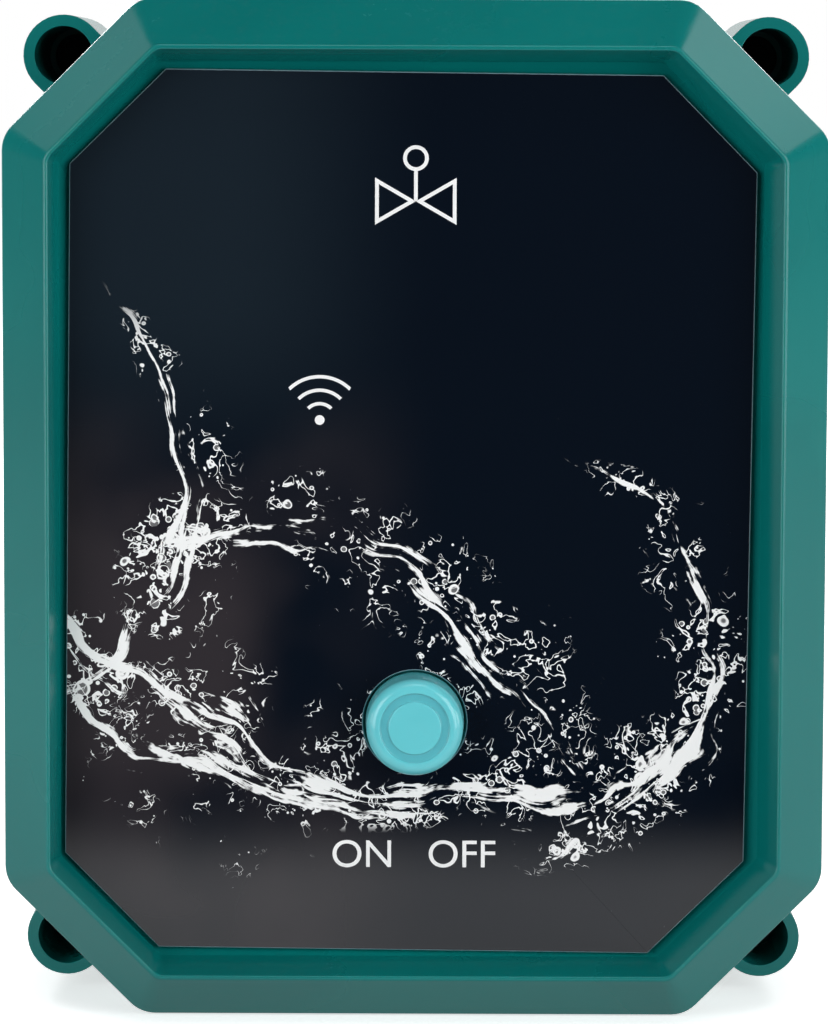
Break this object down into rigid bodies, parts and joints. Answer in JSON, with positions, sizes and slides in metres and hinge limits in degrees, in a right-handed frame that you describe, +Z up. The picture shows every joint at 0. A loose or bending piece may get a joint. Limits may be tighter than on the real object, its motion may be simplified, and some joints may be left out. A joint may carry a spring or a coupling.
{
  "type": "motorised ball valve with wireless control box",
  "caption": "Motor-driven ball valve with pipe-thread ends, carrying a sealed eight-sided wireless control box with a raised rim, a dark fascia and one push button.",
  "frame": {"origin": "centre of the ball, where the waterway and the stem's axis cross", "axes": "+X along the waterway from inlet to outlet, -Y out of the box's face, +Z up the box"},
  "size_m": [0.11, 0.1015, 0.1362],
  "materials": {
    "teal_plastic": "satin moulded",
    "black_rubber": "matt",
    "zinc_steel": "zinc plated",
    "black_gloss": "polished",
    "clear_tape": "adhesive film",
    "milky_plastic": "milky",
    "turquoise_plastic": "satin",
    "spring_steel": "drawn wire",
    "black_plastic": "moulded",
    "white_plastic": "moulded",
    "green_board": "solder mask",
    "tinned_steel": "tinned",
    "green_plastic": "moulded",
    "plate_steel": "plain sheet",
    "gear_nylon": "moulded",
    "brass": "machined",
    "fluoropolymer": "turned",
    "chromed_ball": "polished",
    "stainless_stem": "turned"
  },
  "bodies": {
    "case": {"front_cover": "teal_plastic", "cover_gasket": "black_rubber", "rear_case": "teal_plastic", "case_screws": "zinc_steel", "fascia": "black_gloss", "fascia_tape": "clear_tape", "light_window": "milky_plastic", "button_seal": "black_rubber", "button_spring": "spring_steel", "push_switch": "black_plastic", "circuit_board": "green_board", "board_screws": "zinc_steel", "status_lights": "milky_plastic", "wireless_module": "green_board", "module_shield": "tinned_steel", "supply_terminal": "green_plastic", "capacitor": "tinned_steel", "driver_chip": "black_plastic", "relay": "black_plastic", "motor_plug": "white_plastic", "gear_plate": "plate_steel", "plate_screws": "zinc_steel", "shaft_bush": "brass", "position_sensors": "black_plastic", "idler_pin": "plate_steel", "gearbox": "brass", "motor": "plate_steel", "motor_screws": "zinc_steel", "valve_body": "brass", "end_adapter": "brass", "adapter_gasket": "fluoropolymer", "inlet_seat": "fluoropolymer", "outlet_seat": "fluoropolymer", "thrust_washer": "fluoropolymer", "pad_gasket": "black_rubber", "pad_screws": "zinc_steel", "gland_body": "black_plastic", "gland_seal": "black_rubber", "gland_nut": "black_plastic", "gland_locknut": "black_plastic"},
    "push_button": {"button": "turquoise_plastic"},
    "plunger": {"switch_plunger": "white_plastic"},
    "drive": {"output_gear": "gear_nylon", "position_magnet": "plate_steel", "hub_screw": "zinc_steel", "valve_stem": "stainless_stem", "stem_rings": "black_rubber", "ball": "chromed_ball"},
    "idler": {"idler_gear": "gear_nylon"},
    "pinion": {"motor_pinion": "brass", "motor_shaft": "plate_steel"}
  },
  "joints": [
    {"name": "valve_turn", "type": "hinge", "parent": "case", "child": "drive", "pos_m": [0, 0, 0], "axis": [0, 1, 0], "range_deg": [0, 90]},
    {"name": "idler_turn", "type": "hinge", "parent": "case", "child": "idler", "pos_m": [0, 0, 0.03], "axis": [0, 1, 0], "range_deg": [-360, 0]},
    {"name": "pinion_turn", "type": "hinge", "parent": "case", "child": "pinion", "pos_m": [0.0192, 0, 0.03], "axis": [0, 1, 0], "range_deg": [0, 1080]},
    {"name": "button_press", "type": "slide", "parent": "case", "child": "push_button", "axis": [0, 1, 0], "range_m": [0, 0.0015], "stiffness_N_per_m": 600, "springref_m": -0.002, "deforming": ["button_spring"]},
    {"name": "plunger_press", "type": "slide", "parent": "case", "child": "plunger", "axis": [0, 1, 0], "range_m": [0, 0.0015]}
  ],
  "couplings": [
    {"joint": "idler_turn", "follows": "valve_turn", "ratio": -4},
    {"joint": "pinion_turn", "follows": "valve_turn", "ratio": 12},
    {"joint": "plunger_press", "follows": "button_press", "ratio": 1}
  ]
}
